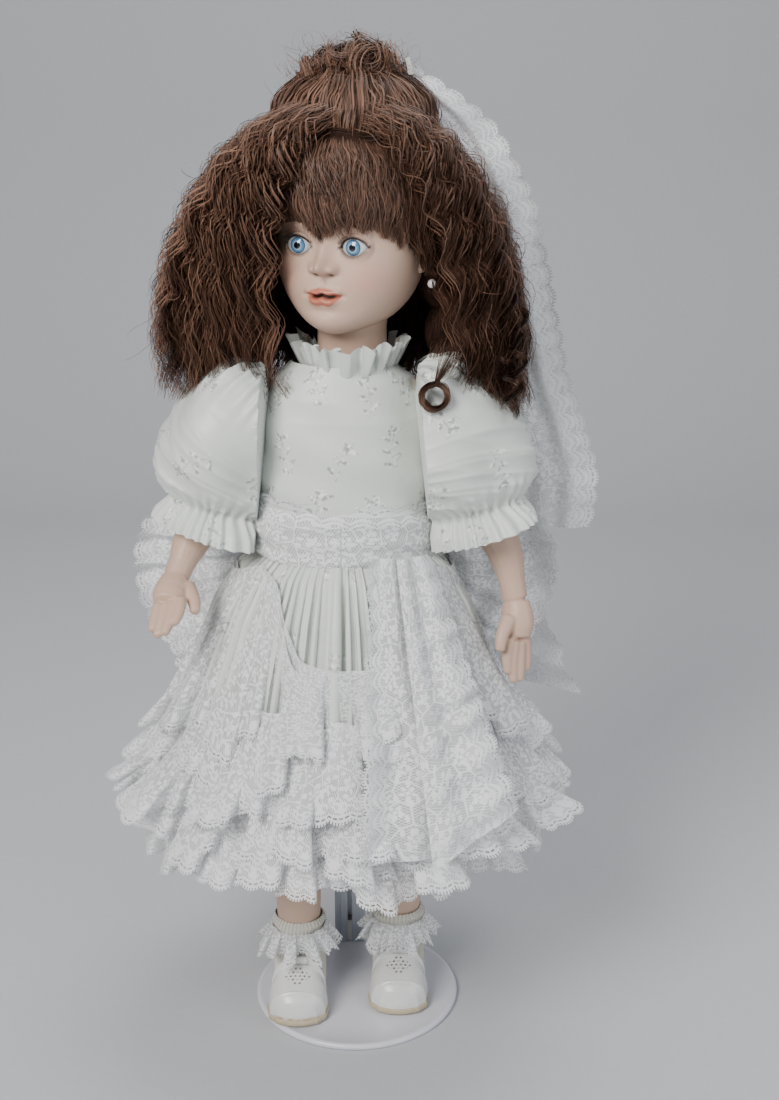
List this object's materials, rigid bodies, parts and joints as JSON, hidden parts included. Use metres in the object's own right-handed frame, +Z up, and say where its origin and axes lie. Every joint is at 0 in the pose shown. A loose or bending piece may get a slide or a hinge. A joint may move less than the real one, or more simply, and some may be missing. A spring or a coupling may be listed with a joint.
{
  "type": "porcelain doll on a display stand",
  "caption": "Standing bride doll with porcelain head and limbs, curled wig, veil and tiered lace dress, held at the waist by a round-based stand.",
  "frame": {"origin": "middle of the round stand base's underside", "axes": "+Z up, the doll's chest faces -Y, its left side is at +X"},
  "size_m": [0.3078, 0.2576, 0.623],
  "materials": {
    "painted_metal": "white powder coat, semi-gloss",
    "bright_steel": "bright plated strip",
    "vinyl": "satin",
    "calico": "plain woven cotton, stuffed",
    "bisque": "matte bisque with painted features",
    "satin": "jacquard satin with sprig pattern",
    "lace": "raschel lace with floral motifs",
    "organza": "sheer stiff organza",
    "knit": "ribbed knit",
    "leatherette": "white leatherette, semi-gloss",
    "sole": "aged cream",
    "glass_eye": "clear dome over a blue iris",
    "hair": "auburn brown curls",
    "wig_net": "stretch net",
    "pearl": "pearl lustre"
  },
  "bodies": {
    "stand": {"stand_base": "painted_metal", "post_screw": "bright_steel", "stand_post": "bright_steel", "post_plug": "vinyl"},
    "trunk": {"stand_rod": "bright_steel", "clip_hub": "bright_steel", "torso": "calico", "shoulder_plate": "bisque", "bodice": "satin", "collar_ruffle": "satin", "sash": "lace", "sash_bow": "lace", "sash_streamer": "lace", "skirt": "satin", "petticoat": "organza", "lace_tier_1": "lace", "lace_tier_2": "lace", "lace_tier_3": "lace", "lace_tier_4": "lace", "lace_tier_5": "lace"},
    "head": {"head_shell": "bisque", "pate": "vinyl", "eye_right": "glass_eye", "eye_left": "glass_eye", "earring_right": "pearl", "earring_left": "pearl", "wig_cap": "wig_net", "hair_crown": "hair", "hair_fringe": "hair", "topknot": "hair", "hair_right": "hair", "hair_left": "hair", "hair_back": "hair", "veil_comb": "vinyl", "veil": "lace"},
    "clip_right": {"clip_arm_right": "bright_steel", "clip_tip_right": "vinyl"},
    "arm_right": {"upper_arm_right": "calico", "forearm_right": "bisque", "sleeve_right": "satin"},
    "leg_right": {"thigh_right": "calico", "lower_leg_right": "bisque", "sock_right": "knit", "sock_lace_right": "lace", "shoe_sole_right": "sole", "shoe_upper_right": "leatherette", "shoe_tie_right": "leatherette"},
    "clip_left": {"clip_arm_left": "bright_steel", "clip_tip_left": "vinyl"},
    "arm_left": {"upper_arm_left": "calico", "forearm_left": "bisque", "sleeve_left": "satin"},
    "leg_left": {"thigh_left": "calico", "lower_leg_left": "bisque", "sock_left": "knit", "sock_lace_left": "lace", "shoe_sole_left": "sole", "shoe_upper_left": "leatherette", "shoe_tie_left": "leatherette"}
  },
  "joints": [
    {"name": "height_slide", "type": "slide", "parent": "stand", "child": "trunk", "axis": [0, 0, 1], "range_m": [0, 0.04]},
    {"name": "head_swivel", "type": "hinge", "parent": "trunk", "child": "head", "pos_m": [0, 0, 0.43], "axis": [0, 0, 1], "range_deg": [-30, 60], "deforming": ["hair_right", "hair_left", "hair_back", "veil"]},
    {"name": "shoulder_right", "type": "hinge", "parent": "trunk", "child": "arm_right", "pos_m": [-0.049, 0, 0.418], "axis": [-1, 0, 0], "range_deg": [-6, 75]},
    {"name": "hip_right", "type": "hinge", "parent": "trunk", "child": "leg_right", "pos_m": [-0.038, 0, 0.25], "axis": [-1, 0, 0], "range_deg": [0, 22]},
    {"name": "clip_right_flex", "type": "hinge", "parent": "trunk", "child": "clip_right", "pos_m": [-0.019, 0.044, 0.285], "axis": [0, 0, -1], "range_deg": [0, 10], "stiffness_Nm_per_rad": 0.4},
    {"name": "shoulder_left", "type": "hinge", "parent": "trunk", "child": "arm_left", "pos_m": [0.037, 0, 0.418], "axis": [-1, 0, 0], "range_deg": [-6, 75]},
    {"name": "hip_left", "type": "hinge", "parent": "trunk", "child": "leg_left", "pos_m": [0.028, 0, 0.25], "axis": [-1, 0, 0], "range_deg": [0, 22]},
    {"name": "clip_left_flex", "type": "hinge", "parent": "trunk", "child": "clip_left", "pos_m": [0.007, 0.044, 0.285], "axis": [0, 0, 1], "range_deg": [0, 10], "stiffness_Nm_per_rad": 0.4}
  ]
}
